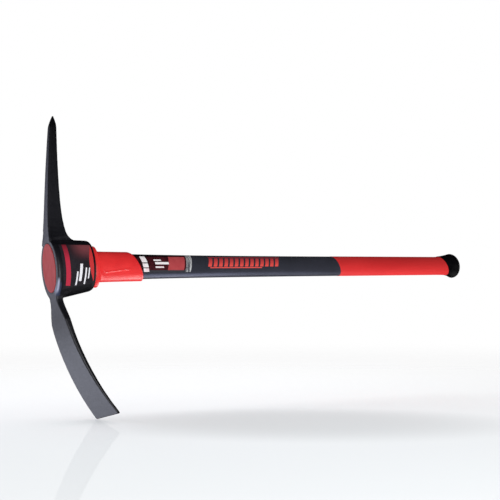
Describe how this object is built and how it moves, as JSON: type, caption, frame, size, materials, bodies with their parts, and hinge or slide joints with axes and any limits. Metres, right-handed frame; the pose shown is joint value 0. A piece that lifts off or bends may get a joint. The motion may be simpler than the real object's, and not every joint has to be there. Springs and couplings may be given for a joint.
{
  "type": "pick mattock",
  "caption": "Digging tool: forged head with a pointed pick and a broad adze, wedged on a jacketed fibreglass handle with an overstrike collar, a grip sleeve and a flared end cap.",
  "frame": {"origin": "where the handle's axis meets the face of the plug in the eye", "axes": "+X along the handle from the head to the end cap, +Z towards the pick's point with the adze on -Z, +Y to the side without labels"},
  "size_m": [0.9155, 0.074, 0.4875],
  "materials": {
    "head_steel": "forged steel, dark satin paint",
    "plug_plastic": "dull moulded face",
    "core_resin": "pultruded glass fibre and resin",
    "jacket_plastic": "satin moulded",
    "collar_plastic": "half gloss moulded",
    "grip_plastic": "satin moulded",
    "cap_plastic": "satin moulded",
    "label_film": "printed film",
    "tape_film": "clear adhesive tape",
    "print_film": "printed film"
  },
  "bodies": {
    "root": {"mattock_head": "head_steel", "eye_plug": "plug_plastic", "fibreglass_core": "core_resin", "handle_jacket": "jacket_plastic", "overstrike_collar": "collar_plastic", "grip_sleeve": "grip_plastic", "end_cap": "cap_plastic", "shelf_label": "label_film", "label_tape": "tape_film", "head_label": "print_film"}
  },
  "joints": []
}
